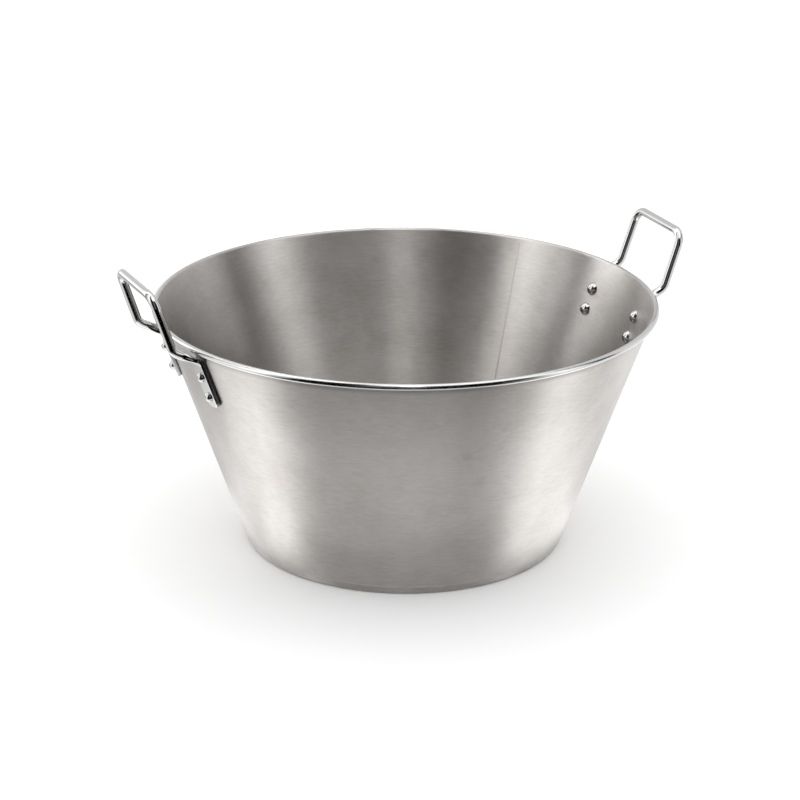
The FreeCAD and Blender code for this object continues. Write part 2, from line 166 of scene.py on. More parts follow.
def skin(name, rings, grain, closed=False, caps=None):
    """Mesh object through rings of points, an array (rings, around, 3).

    Point (i, j) joins (i, j+1) and (i+1, j), and each ring closes on itself. closed joins the last
    ring to the first; otherwise caps are the two points that close the ends with a fan. grain is
    kept as a vector on every point, for the finish to follow.
    """
    count, around = rings.shape[:2]
    index = np.arange(count * around).reshape(count, around)
    low, high = (index, np.roll(index, -1, 0)) if closed else (index[:-1], index[1:])
    quads = np.stack([low, np.roll(low, -1, 1), np.roll(high, -1, 1), high], -1).reshape(-1, 4)
    points = rings.reshape(-1, 3)
    grains = grain.reshape(-1, 3)
    faces = quads.tolist()
    if caps is not None:
        first, last = index[0], index[-1]
        bottom = np.full(around, len(points))
        top = bottom + 1
        faces += np.stack([bottom, np.roll(first, -1), first], -1).tolist()
        faces += np.stack([top, last, np.roll(last, -1)], -1).tolist()
        points = np.vstack([points, caps])
        grains = np.vstack([grains, grain[0].mean(0), grain[-1].mean(0)])
    mesh = bpy.data.meshes.new(name)
    mesh.from_pydata(points.tolist(), [], faces)
    mesh.attributes.new("grain", "FLOAT_VECTOR", "POINT")
    mesh.attributes["grain"].data.foreach_set("vector", grains.astype(np.float32).ravel())
    mesh.polygons.foreach_set("use_smooth", np.ones(len(mesh.polygons), bool))
    mesh.set_sharp_from_angle(angle=SHARP_ANGLE)
    mesh.update()
    piece = bpy.data.objects.new(name, mesh)
    bpy.context.scene.collection.objects.link(piece)
    return piece


def spun(profile, around):
    """A half section carried round the axis: (r, z) becomes (r cos a, r sin a, z).

    The grain is (r cos a, r sin a, distance along the section).
    """
    turn = np.linspace(0.0, 2.0 * math.pi, around, endpoint=False)
    across = profile[:, :1]
    flat = [across * np.cos(turn), across * np.sin(turn)]
    ones = np.ones_like(turn)
    return (np.stack([*flat, profile[:, 1:] * ones], -1),
            np.stack([*flat, run_length(profile)[:, None] * ones], -1))


def bent_line(corners, bends, spacing):
    """Straight runs between corners, with each inner corner rounded by an arc tangent to both.

    With h half the angle at a corner, the arc's centre lies radius / sin h from the corner, and
    its ends lie radius / tan h from it. spacing is the distance between points.
    """
    runs = []
    here = corners[0]
    for before, at, after, radius in zip(corners, corners[1:], corners[2:], bends):
        back, ahead = unit(before - at), unit(after - at)
        half = math.acos(back @ ahead) / 2
        centre = at + unit(back + ahead) * (radius / math.sin(half))
        start = at + back * (radius / math.tan(half))
        end = at + ahead * (radius / math.tan(half))
        first = unit(start - centre)
        second = unit(end - centre - first * ((end - centre) @ first))
        sweep = math.pi - 2 * half
        turn = np.linspace(0.0, sweep, max(8, round(radius * sweep / spacing)) + 1)[:, None]
        runs.append(line(here, start, max(2, round(np.linalg.norm(start - here) / spacing) + 1)))
        runs.append(centre + radius * (first * np.cos(turn) + second * np.sin(turn)))
        here = end
    last = max(2, round(np.linalg.norm(corners[-1] - here) / spacing) + 1)
    runs.append(line(here, corners[-1], last))
    return chain(*runs)


def bar_section(width, gauge, edge, around):
    """Rounded bar, rings by points: half width, half gauge and edge radius vary from ring to ring.

    A quarter is a quarter-share of end, a half-share of corner arc and a quarter-share of face.
    """
    turn = np.linspace(0.0, 2.0 * math.pi, around, endpoint=False)[None, :]
    share = np.arctan2(np.abs(np.sin(turn)), np.abs(np.cos(turn))) / (math.pi / 2)
    corner = np.clip((share - 0.25) / 0.5, 0.0, 1.0) * (math.pi / 2)
    face = 1.0 - np.clip((share - 0.75) / 0.25, 0.0, 1.0)
    end = np.clip(share / 0.25, 0.0, 1.0)
    across = (width - edge) * face + edge * np.cos(corner)
    front = (gauge - edge) * end + edge * np.sin(corner)
    return across * np.sign(np.cos(turn).round(9)), front * np.sign(np.sin(turn).round(9))


# ---------------------------------------------------------------- the kettle's shape


class Shape:
    """Numbers and points that follow from the sizes. Half-section points are (radius, height)."""

    knee_gap = 5.5 * MM  # between the bead's underside and the rod at its knee
    knee_bend = 8 * MM  # bends are radii of the rod's centre line
    shoulder_bend = 13 * MM
    crown_bend = 14 * MM
    forge_lead = 15 * MM  # length over which the round rod turns into the flat strap
    strap_edge = 1.1 * MM  # radius of the strap's long edges
    strap_toe = 5 * MM  # radius of the strap's end corners, seen from outside
    strap_margin = 11.5 * MM  # from the lower rivet to the strap's end
    end_round = 0.6 * MM  # radius of the edge round the strap's end
    seat_gap = 0.04 * MM  # strap to wall
    head_gap = 0.14 * MM  # inner rivet head to wall, on the rivet's axis
    bead_wrap = 285.0  # degrees that the sheet is rolled through

    def __init__(self, sizes):
        self.size = sizes
        curl = sizes.bead_radius - sizes.sheet
        run = sizes.rim_radius - sizes.bead_radius - sizes.base_radius + sizes.corner_radius
        rise = sizes.height - sizes.bead_radius - sizes.corner_radius
        self.lean = math.atan2(run, rise) - math.asin(
            (curl + sizes.corner_radius) / math.hypot(run, rise))
        self.corner = np.array([sizes.base_radius - sizes.corner_radius, sizes.corner_radius])
        self.bead = np.array([sizes.rim_radius, sizes.height]) - sizes.bead_radius
        self.out = np.array([math.cos(self.lean), -math.sin(self.lean)])
        self.up = np.array([math.sin(self.lean), math.cos(self.lean)])
        start = self.corner + self.out * sizes.corner_radius
        self.weld = start + self.up * ((sizes.weld_height - start[1]) / self.up[1])
        self.weld_inside = self.weld - self.out * sizes.sheet
        self.curl_start = self.bead - self.out * curl
        self.slope = float(np.linalg.norm(self.curl_start - self.weld))

    def wall_radius(self, height):
        """Radius of the wall's outside at a height."""
        return self.weld[0] + (height - self.weld[1]) * math.tan(self.lean)

    def leg(self, side):
        """Rivet-pair centre on the wall, outward, upward and sideways directions of a leg."""
        height = self.size.height - self.size.rivet_drop
        radius = self.wall_radius(height)
        turn = math.asin(side * self.size.leg_offset / radius)
        point = np.array([radius * math.cos(turn), radius * math.sin(turn), height])
        out = np.array([self.out[0] * math.cos(turn), self.out[0] * math.sin(turn), self.out[1]])
        up = unit(np.array([math.tan(self.lean) / math.cos(turn), 0.0, 1.0]))
        return point, out, up, np.cross(up, out)

    def strap_line(self, side):
        """Knee corner and lower end of a strap's centre line, and its direction to the side."""
        size = self.size
        point, out, up, across = self.leg(side)
        middle = point + out * (self.seat_gap + size.strap_gauge / 2)
        level = size.height - 2 * size.bead_radius - size.rod_radius - self.knee_gap
        knee = middle + up * ((level - middle[2]) / up[2])
        return knee, middle - up * (size.rivet_pitch / 2 + self.strap_margin), across


def handle_turn(shape, heading, sense):
    """Rotation of a handle's own frame, whose +X points at the handle, into the kettle's."""
    turn = math.radians(heading) + sense * shape.size.handle_skew
    return np.array(Matrix.Rotation(turn, 3, "Z"))


def wall_piece(shape):
    """The wall as a closed half section, spun round the axis.

    It runs up the outside, round inside the curl, over the curl's rounded lip, back round the
    curl's outside and down the inside to the weld.
    """
    size = shape.size
    first = 180.0 - math.degrees(shape.lean)
    last = first - shape.bead_wrap
    inside = size.bead_radius - size.sheet
    lip = arc(shape.bead, inside + size.sheet / 2, last, last, 1)[0]
    curl = arc(shape.bead, inside, first, last, 48)
    crest = arc(shape.bead, size.bead_radius, last, first, 90)
    profile = chain(
        line(shape.weld, curl[0], 24),
        curl,
        arc(lip, size.sheet / 2, last + 180.0, last + 360.0, 9),
        crest,
        line(crest[-1], shape.weld_inside, 24),
    )
    rings, grain = spun(profile, 512)
    return skin("wall_shell", rings, grain, closed=True)


def base_piece(shape):
    """The base as a half section, spun round the axis and closed by a fan above and below.

    It runs out under the base, round the corner, up to the weld and back over the floor inside.
    """
    size = shape.size
    last = -math.degrees(shape.lean)
    hub = 4 * MM  # radius of the fans
    outside = arc(shape.corner, size.corner_radius, -90.0, last, 20)
    inside = arc(shape.corner, size.corner_radius - size.sheet, last, -90.0, 20)
    profile = chain(
        line((hub, 0.0), outside[0], 34),
        outside,
        line(outside[-1], shape.weld, 6),
        line(shape.weld, shape.weld_inside, 3),
        line(shape.weld_inside, inside[0], 6),
        inside,
        line(inside[-1], (hub, size.sheet), 34),
    )
    rings, grain = spun(profile, 384)
    return skin("base_pan", rings, grain, caps=[(0, 0, 0), (0, 0, size.sheet)])


def base_weld_piece(shape):
    """The ground weld between base and wall: a low rounded bar in the joint, spun round the axis.

    Its half width swells and narrows a little round the kettle, by a sum of whole-number waves.
    Its section is that half width times sin t, by the half thickness times the root of cos t.
    """
    turn = np.linspace(0.0, 2.0 * math.pi, 720, endpoint=False)
    swell = 1.0 + 0.10 * np.sin(23 * turn) + 0.07 * np.sin(57 * turn + 1.3)
    half_width, proud = 0.85 * MM, 0.10 * MM
    middle = (shape.weld + shape.weld_inside) / 2
    angle = np.linspace(0.0, 2.0 * math.pi, 28, endpoint=False)[:, None]
    thick = (shape.size.sheet / 2 + proud) * np.sign(np.cos(angle)) * np.abs(np.cos(angle)) ** 0.5
    wide = half_width * swell * np.sin(angle)
    radius = middle[0] + shape.out[0] * thick + shape.up[0] * wide
    height = middle[1] + shape.out[1] * thick + shape.up[1] * wide
    flat = [radius * np.cos(turn), radius * np.sin(turn)]
    rings = np.stack([*flat, height], -1)
    grain = np.stack([*flat, angle * 2 * MM * np.ones_like(turn)], -1)
    return skin("base_weld", rings, grain, closed=True)


def wall_seam_piece(shape):
    """The wall's upright seam: a thin rounded bar in the sheet, from the weld to the curl.

    Its half width swells and narrows a little up the wall, by a sum of two waves.
    """
    half_width, proud, edge = 0.75 * MM, 0.04 * MM, 0.3 * MM
    section = line(shape.weld, shape.curl_start, 90) - shape.out * (shape.size.sheet / 2)
    azimuth = shape.size.seam_azimuth
    radial = np.array([math.cos(azimuth), math.sin(azimuth), 0.0])
    sideways = np.array([-math.sin(azimuth), math.cos(azimuth), 0.0])
    lift = np.array([0.0, 0.0, 1.0])
    run = np.linspace(0.0, 1.0, len(section))[:, None]
    wave = 1.0 + 0.12 * np.sin(61 * run) + 0.08 * np.sin(143 * run + 0.7)
    across, front = bar_section(half_width * wave, shape.size.sheet / 2 + proud, edge, 24)
    front = front * np.ones_like(across)
    out = radial * shape.out[0] + lift * shape.out[1]
    spine = section[:, :1] * radial + section[:, 1:] * lift
    rings = spine[:, None] + across[..., None] * sideways + front[..., None] * out
    grain = np.stack([across, front, run * shape.slope * np.ones_like(across)], -1)
    return skin("wall_seam", rings[:, ::-1], grain[:, ::-1], caps=[spine[0], spine[-1]])


def handle_corners(shape):
    """Corners of a handle's centre line from end to end, and each strap's direction to the side.

    The second half of the corners mirrors the first in the handle's centre plane.
    """
    size = shape.size
    knees, ends, sides = zip(*(shape.strap_line(leg) for leg in (1, -1)))
    shoulder = np.array([size.rim_radius + size.shoulder_reach, size.leg_offset,
                         knees[0][2] + size.shoulder_lift])
    crown = np.array([size.rim_radius + size.crown_reach, size.crown_offset,
                      size.height + size.crown_rise])
    mirror = np.array([1.0, -1.0, 1.0])
    corners = [ends[0], knees[0], shoulder, crown,
               crown * mirror, shoulder * mirror, knees[1], ends[1]]
    return corners, sides


def handle_spine(shape, corners):
    """Centre line of the rod, with the points of its ends closer together towards each tip."""
    bends = [shape.knee_bend, shape.shoulder_bend, shape.crown_bend]
    middle = bent_line(corners, bends + bends[::-1], 0.9 * MM)
    toe = shape.strap_toe * (1.0 - np.cos(np.linspace(0.0, math.pi / 2, 12)))[:, None]
    first = corners[0] + unit(corners[1] - corners[0]) * toe
    last = corners[-1] + unit(corners[-2] - corners[-1]) * toe
    reach = run_length(middle)
    past_toe = shape.strap_toe * 1.05
    inner = (reach > past_toe) & (reach < reach[-1] - past_toe)
    return np.concatenate([first, middle[inner], last[::-1]])


def flat_length(shape, end, knee, shoulder):
    """Length along the rod that is flat: the straight of the strap and the arc of its knee."""
    half = math.acos(unit(end - knee) @ unit(shoulder - knee)) / 2
    straight = np.linalg.norm(knee - end) - shape.knee_bend / math.tan(half)
    return straight + shape.knee_bend * (math.pi - 2 * half)


def handle_section(shape, near, flat):
    """Section of the rod at each distance near from its nearest end: points across and in front.

    It is a circle blended into a rounded bar. The blend is 1 on the flat length and eases to 0
    over the forged run after it. The bar narrows in quarter circles round the strap's end.
    """
    size = shape.size
    around = 56
    blend = ease(1.0 - (near - flat) / shape.forge_lead)
    toe_turn = np.clip(1.0 - near / shape.strap_toe, 0.0, 1.0)
    width = size.strap_width / 2 - shape.strap_toe * (1.0 - np.sqrt(1.0 - toe_turn ** 2))
    edge_turn = np.clip(1.0 - near / shape.end_round, 0.0, 1.0)
    ease_in = shape.end_round * (1.0 - np.sqrt(1.0 - edge_turn ** 2))
    gauge = size.strap_gauge / 2 - ease_in
    edge = np.minimum(shape.strap_edge, gauge)
    across, front = bar_section(width - ease_in, gauge, edge, around)
    turn = np.linspace(0.0, 2.0 * math.pi, around, endpoint=False)[None, :]
    return (across * blend + size.rod_radius * np.cos(turn) * (1.0 - blend),
            front * blend + size.rod_radius * np.sin(turn) * (1.0 - blend))


def handle_piece(shape, side, heading, sense):
    """One handle: a rod carried along its bent line, flattened into a strap at each end.

    The section's width follows each strap's side near its end, and the plane of the loop in
    between, with a smooth step from one to the other.
    """
    corners, sides = handle_corners(shape)
    end, knee, shoulder, crown = corners[:4]
    spine = handle_spine(shape, corners)
    along = run_length(spine)[:, None]
    left = along[-1] - along
    flat = flat_length(shape, end, knee, shoulder)
    across, front = handle_section(shape, np.minimum(along, left), flat)

    ahead = unit(np.gradient(spine, along[:, 0], axis=0))
    loop_normal = unit(np.cross(crown - shoulder, np.array([0.0, 1.0, 0.0])))
    free = flat + shape.forge_lead
    step = 30 * MM
    first_share = 1.0 - ease((along - free) / step)
    last_share = 1.0 - ease((left - free) / step)
    wide = np.cross(ahead, -loop_normal) * (1.0 - first_share - last_share)
    wide += sides[0] * first_share - sides[1] * last_share
    wide = unit(wide - ahead * np.sum(wide * ahead, axis=1, keepdims=True))
    deep = np.cross(ahead, wide)
    rings = spine[:, None] + across[..., None] * wide[:, None] + front[..., None] * deep[:, None]
    rotation = handle_turn(shape, heading, sense).T
    grain = np.stack([across, front, along * np.ones_like(across)], -1)
    caps = np.array([spine[0], spine[-1]]) @ rotation
    return skin(f"handle_rod_{side}", rings @ rotation, grain, caps=caps)


def rivet_profile(shape):
    """Half section of a rivet, from the middle of its inner head to the middle of its outer head.

    Each head is a spherical cap with a small rounded rim. Height 0 is the wall's outer face.
    """
    size = shape.size
    rim = 0.35 * MM
    bulge = 0.4  # share of the rim
    crown_gap = 1.5  # degrees
    low = -size.sheet - shape.head_gap
    high = shape.seat_gap + size.strap_gauge

    def cap(radius, rise, count):
        """A cap from its crown to its rim: (distance off the axis, height above its seat).

        The ball's radius is (radius^2 + rise^2) / 2 rise. The rim drops by sin t and bulges out
        by sin 2t, over a quarter turn. The crown's last degrees are left to a fan.
        """
        ball = (radius ** 2 + rise ** 2) / (2 * rise)
        spread = math.degrees(math.acos((ball - rise + rim) / ball))
        dome = arc((0.0, rise - ball), ball, 90.0 - crown_gap, 90.0 - spread, count)
        turn = np.linspace(0.0, math.pi / 2, 6)[1:]
        hem = dome[-1] + rim * np.stack([bulge * np.sin(2 * turn), -np.sin(turn)], -1)
        return np.vstack([dome, hem])

    inner = cap(size.inner_head, size.inner_rise, 30) * (1.0, -1.0) + (0.0, low)
    outer = cap(size.outer_head, size.outer_rise, 30)[::-1] + (0.0, high)
    shank = line((size.shank_radius, low), (size.shank_radius, high), 5)
    return np.vstack([inner, shank, outer]), low - size.inner_rise, high + size.outer_rise


def rivet_piece(shape, side, leg, place, heading, sense):
    """One rivet: its half section spun round its axis and stood on the wall.

    A point (x, y, z) of the spun rivet goes to x across, y up and z out from the rivet's place.
    """
    profile, bottom, top = rivet_profile(shape)
    rings, grain = spun(profile, 64)
    point, out, up, across = shape.leg(leg)
    step = 0.5 if place == "upper" else -0.5
    point = point + up * (step * shape.size.rivet_pitch)
    axes = np.stack([across, np.cross(out, across), out])
    rotation = handle_turn(shape, heading, sense).T
    rings = (rings @ axes + point) @ rotation
    caps = (np.array([(0.0, 0.0, bottom), (0.0, 0.0, top)]) @ axes + point) @ rotation
    return skin(f"rivet_dome_{side}_{LEG_NAMES[side, leg]}_{place}", rings, grain, caps=caps)


# ---------------------------------------------------------------- finishes

# The wall's finish near its rim. The polish starts and is full this far in from the rim's
# outside. The painted shade under the rim, a darker colour that stands in for the rim's shadow,
# starts and is full, then fades and is gone, this far down the slope from the curl.
RIM_POLISH = (4.5 * MM, 2.5 * MM)
RIM_ROUGHNESS = 0.16
PAINTED_SHADE_START = (12.5 * MM, 3.5 * MM)
PAINTED_SHADE_END = (1.5 * MM, -0.5 * MM)


def operator(operation, swapped=False):
    """A Python operator that adds a Math node."""
    def apply(self, other):
        pair = (other, self) if swapped else (self, other)
        return self.finish.math(operation, *pair)
    return apply


class Wire:
    """A shader socket that can stand in a Python expression."""

    def __init__(self, finish, socket):
        self.finish = finish
        self.socket = socket

    __add__ = operator("ADD")
    __radd__ = operator("ADD", True)
    __sub__ = operator("SUBTRACT")
    __rsub__ = operator("SUBTRACT", True)
    __mul__ = operator("MULTIPLY")
    __rmul__ = operator("MULTIPLY", True)
    __truediv__ = operator("DIVIDE")


class Finish:
    """A node tree under construction."""

    def __init__(self, owner):
        owner.use_nodes = True
        self.owner = owner
        self.tree = owner.node_tree
        self.tree.nodes.clear()

    def node(self, kind, settings=None, values=None, output=0):
        """Adds a node, applies its settings, fills or links its sockets and returns an output."""
        made = self.tree.nodes.new(kind)
        for key, setting in (settings or {}).items():
            if key == "stops":
                self.set_stops(made.color_ramp, setting)
            else:
                setattr(made, key, setting)
        for key, value in (values or {}).items():
            if isinstance(value, Wire):
                self.tree.links.new(value.socket, made.inputs[key])
            else:
                made.inputs[key].default_value = value
        return Wire(self, made.outputs[output]) if len(made.outputs) else made

    @staticmethod
    def set_stops(ramp, stops):
        """Colour stops of a ramp: (position, grey level)."""
        while len(ramp.elements) < len(stops):
            ramp.elements.new(1.0)
        for element, (position, grey) in zip(ramp.elements, stops):
            element.position = position
            element.color = (grey, grey, grey, 1.0)

    def math(self, operation, *values):
        return self.node("ShaderNodeMath", {"operation": operation}, dict(enumerate(values)))

    def ease(self, value, low, high):
        """0 below low, 1 above high and a smooth step between."""
        return self.node("ShaderNodeMapRange", {"interpolation_type": "SMOOTHSTEP"},
                         {"Value": value, "From Min": low, "From Max": high})

    def scaled(self, vector, factors):
        return self.node("ShaderNodeVectorMath", {"operation": "MULTIPLY"}, {0: vector, 1: factors})

    def noise(self, vector, factors, detail=2.0, roughness=0.5):
        """Noise from 0 to 1, with its own cells per metre along each part of the vector."""
        return self.node("ShaderNodeTexNoise", None,
                         {"Vector": self.scaled(vector, factors), "Scale": 1.0,
                          "Detail": detail, "Roughness": roughness})

    def blend(self, factor, first, second):
        """Colour from first to second."""
        return self.node("ShaderNodeMix", {"data_type": "RGBA"},
                         {0: factor, 6: first, 7: second}, output=2)

    def bump(self, height, distance):
        return self.node("ShaderNodeBump", None,
                         {"Height": height, "Strength": 1.0, "Distance": distance})

    def grain(self):
        return self.node("ShaderNodeAttribute", {"attribute_name": "grain"}, output="Vector")

    def parts(self, vector):
        """The three parts of a vector."""
        split = self.node("ShaderNodeSeparateXYZ", None, {0: vector}).socket.node
        return [Wire(self, socket) for socket in split.outputs]

    def steel(self, base, rough, normal, **constants):
        """Ends the tree in bare metal with this colour, roughness and normal."""
        values = {"Base Color": base, "Roughness": rough, "Normal": normal, "Metallic": 1.0}
        values.update({key.replace("_", " ").title(): value for key, value in constants.items()})
        surface = self.node("ShaderNodeBsdfPrincipled", None, values)
        self.node("ShaderNodeOutputMaterial", None, {"Surface": surface})
        return self.owner


def solid(rgb, factor=1.0):
    """A colour as four numbers, made lighter or darker by a factor."""
    return (*(min(1.0, part * factor) for part in rgb), 1.0)


def brushed_steel(name, colours, rough, shape=None):
    """Sheet steel brushed round the kettle: fine lines along each ring, broken into strokes.

    Colour and roughness follow the strokes and broad cloudy patches, and the sheet is a little
    wavy. The wall gives its shape too: its rim is polished, and shade from the rim is painted
    darker into the sheet's colour under it.
    """
    finish = Finish(bpy.data.materials.new(name))
    grain = finish.grain()
    place = finish.node("ShaderNodeTexCoord", output="Object")
    fine = finish.noise(grain, (90.0, 90.0, 2600.0), detail=3.0, roughness=0.6)
    strokes = finish.noise(grain, (85.0, 85.0, 620.0), detail=4.0, roughness=0.7)
    clouds = finish.noise(place, (16.0, 16.0, 20.0), detail=4.0, roughness=0.6)
    handled = finish.noise(place, (38.0, 38.0, 46.0), detail=4.0, roughness=0.6)
    waves = finish.noise(place, (13.0, 13.0, 8.0), detail=1.0, roughness=0.5)
    light = 0.35 * fine + 1.50 * strokes + 1.80 * clouds - 1.32
    base = finish.blend(light, solid(colours.brushed_dark), solid(colours.brushed_light))
    marks = finish.ease(handled, 0.60, 0.74)
    dull = rough + 0.10 * (fine - 0.5) + 0.08 * (clouds - 0.5) + 0.03 * marks
    relief = 0.6 * fine + 0.5 * strokes + 5.0 * waves
    if shape:
        run = finish.parts(grain)[2]
        x, y, _ = finish.parts(place)
        radius = finish.math("SQRT", x * x + y * y)
        rim = finish.ease(radius, *(shape.size.rim_radius - inset for inset in RIM_POLISH))
        shade = finish.ease(run, *(shape.slope - down for down in PAINTED_SHADE_START))
        clear = finish.ease(run, *(shape.slope - down for down in PAINTED_SHADE_END))
        # Painted shade under the rim: the sheet's colour darkened in cloudy patches towards
        # brushed_dark at 0.30, standing in for the rim's shadow.
        under = 1.1 * clouds * shade * (1.0 - clear)
        base = finish.blend(under, base, solid(colours.brushed_dark, 0.30))
        base = finish.blend(rim, base, solid(colours.polished))
        dull = dull * (1.0 - rim) + RIM_ROUGHNESS * rim
        relief = relief * (1.0 - 0.8 * rim)
    normal = finish.bump(relief, 0.12 * MM)
    return finish.steel(base, dull, normal, anisotropic=1.0, anisotropic_rotation=0.25)


def polished_steel(name, colours, tone, rough, lines):
    """Polished steel with faint drawn or turned lines and cloudy handling marks.

    tone lightens or darkens the metal, and lines are the cells per metre along the grain's parts.
    """
    finish = Finish(bpy.data.materials.new(name))
    grain = finish.grain()
    place = finish.node("ShaderNodeTexCoord", output="Object")
    drawn = finish.noise(grain, lines, detail=2.0, roughness=0.55)
    clouds = finish.noise(place, (60.0, 60.0, 60.0), detail=3.0, roughness=0.55)
    dark = solid(colours.polished, tone * 0.86)
    base = finish.blend(0.5 * drawn + 0.5 * clouds, dark, solid(colours.polished, tone))
    dull = rough + 0.06 * (drawn - 0.5) + 0.07 * (clouds - 0.5)
    return finish.steel(base, dull, finish.bump(drawn, 0.02 * MM))


def weld_steel(name, colours):
    """Ground weld metal: dull and mottled, with fine upright scratches."""
    finish = Finish(bpy.data.materials.new(name))
    place = finish.node("ShaderNodeTexCoord", output="Object")
    tint = finish.noise(place, (160.0, 160.0, 160.0), detail=3.0, roughness=0.6)
    scratches = finish.noise(place, (900.0, 900.0, 300.0), detail=2.0, roughness=0.6)
    base = finish.blend(tint, solid(colours.weld, 0.85), solid(colours.weld, 1.35))
    dull = 0.34 + 0.16 * (scratches - 0.5)
    return finish.steel(base, dull, finish.bump(scratches, 0.04 * MM))


def floor_finish(colours):
    """Matt white studio floor, a little uneven in tone."""
    finish = Finish(bpy.data.materials.new("studio_floor"))
    place = finish.node("ShaderNodeTexCoord", output="Object")
    uneven = finish.noise(place, (3.0, 3.0, 3.0))
    base = finish.blend(uneven, solid(colours.floor, 0.99), solid(colours.floor, 1.01))
    surface = finish.node("ShaderNodeBsdfPrincipled", None,
                          {"Base Color": base, "Roughness": 0.70 + 0.05 * uneven,
                           "Specular IOR Level": 0.0})
    finish.node("ShaderNodeOutputMaterial", None, {"Surface": surface})
    return finish.owner


def panel_light(finish, *panels):
    """Grey levels by azimuth about the kettle's axis, one for each list of panels.

    The azimuth share is 0.5 + atan2(right, towards) / 2 pi, where right and towards are the
    distances to the right of the axis and from it towards the camera's side. Returns the levels
    with the distance from the axis and the height.
    """
    place = finish.node("ShaderNodeTexCoord", output="Object")
    x, y, z = finish.parts(place)
    facing = math.radians(CAMERA_AZIMUTH)
    right = x * math.cos(facing) + y * math.sin(facing)
    towards = x * math.sin(facing) - y * math.cos(facing)
    azimuth = finish.math("ARCTAN2", right, towards) / (2.0 * math.pi) + 0.5
    levels = [finish.node("ShaderNodeValToRGB", {"stops": stops}, {"Fac": azimuth}, output="Color")
              for stops in panels]
    return levels, finish.math("SQRT", x * x + y * y), z


def tent_finish():
    """Light of the reflection tent: low panels and gaps, brighter high ones, even overhead."""
    finish = Finish(bpy.data.materials.new("light_tent"))
    (low, high), _, height = panel_light(finish, TENT_LOW, TENT_HIGH)
    rise = height / TENT_RADIUS
    high = finish.scaled(high, (HIGH_GAIN, HIGH_GAIN, HIGH_GAIN))
    shade = finish.blend(finish.ease(rise, *LOW_TO_HIGH), low, high)
    shade = finish.blend(finish.ease(rise, *HIGH_TO_TOP), shade, solid(OVERHEAD))
    light = finish.node("ShaderNodeEmission", None, {"Color": shade, "Strength": PANEL_LIGHT})
    finish.node("ShaderNodeOutputMaterial", None, {"Surface": light})
    finish.owner.cycles.emission_sampling = "NONE"
    return finish.owner


def glow_finish():
    """Light of the floor ring's foot, near and far panels, which fades out under the kettle."""
    finish = Finish(bpy.data.materials.new("light_glow"))
    (foot, near, far), reach, _ = panel_light(finish, GLOW_FOOT, GLOW_NEAR, GLOW_FAR)
    shade = finish.blend(finish.ease(reach, *FOOT_TO_NEAR), foot, near)
    shade = finish.blend(finish.ease(reach, *NEAR_TO_FAR), shade, far)
    light = finish.node("ShaderNodeEmission", None, {"Color": shade, "Strength": PANEL_LIGHT})
    clear = finish.node("ShaderNodeBsdfTransparent")
    surface = finish.node("ShaderNodeMixShader", None,
                          {0: finish.ease(reach, *GLOW_FADE), 1: clear, 2: light})
    finish.node("ShaderNodeOutputMaterial", None, {"Surface": surface})
    finish.owner.cycles.emission_sampling = "NONE"
    return finish.owner


# ---------------------------------------------------------------- stage

# The camera's turns are in degrees and its lens in millimetres.
CAMERA_AZIMUTH = -23.42
CAMERA_ELEVATION = 20.52
CAMERA_ROLL = 0.38
CAMERA_DISTANCE = 2.4
CAMERA_AIM = Vector((-0.0044, 0.0019, 0.1397))
CAMERA_LENS = 107.55

FLOOR_LEVEL = -0.3 * MM
FLOOR_REACH = 16.0
WORLD_STRENGTH = 1.40

# Two light panels that only reflections see: a tent, which is a half sphere over the kettle, and
# a ring just over the floor. Their lists are (azimuth share, level). Shares 0 and 1 are behind
# the kettle, 0.25 is its left, 0.5 the camera's side and 0.75 its right. Levels are shares of
# PANEL_LIGHT.
PANEL_LIGHT = 3.0

# The tent's low panels give way to its high ones, and those to the even top, by share of its
# height.
TENT_RADIUS = 4.0
LOW_TO_HIGH = (0.77, 0.90)
HIGH_TO_TOP = (0.96, 0.985)
HIGH_GAIN = 2.4
OVERHEAD = (0.72, 0.72, 0.72)
TENT_LOW = [
    (0.00, 0.36), (0.12, 0.40), (0.16, 1.00), (0.198, 1.00), (0.212, 0.08), (0.234, 0.08),
    (0.254, 0.56), (0.285, 0.62), (0.306, 0.92), (0.328, 0.86), (0.338, 0.40), (0.355, 0.32),
    (0.365, 0.00), (0.43, 0.00), (0.45, 0.05), (0.497, 0.05), (0.504, 0.12), (0.520, 0.12),
    (0.526, 0.00), (0.61, 0.00), (0.655, 0.04), (0.672, 0.40), (0.697, 0.85), (0.722, 0.62),
    (0.738, 0.25), (0.750, 0.05), (0.775, 0.00), (0.795, 0.42), (0.83, 0.45), (0.90, 0.36),
]
TENT_HIGH = [
    (0.00, 0.30), (0.12, 0.38), (0.16, 0.64), (0.195, 0.64), (0.215, 0.14), (0.24, 0.15),
    (0.26, 0.38), (0.30, 0.38), (0.35, 0.15), (0.37, 0.00), (0.43, 0.00), (0.45, 0.40),
    (0.49, 0.48), (0.500, 1.00), (0.526, 1.00), (0.537, 0.38), (0.55, 0.32), (0.62, 0.30),
    (0.69, 0.45), (0.76, 0.30),
]

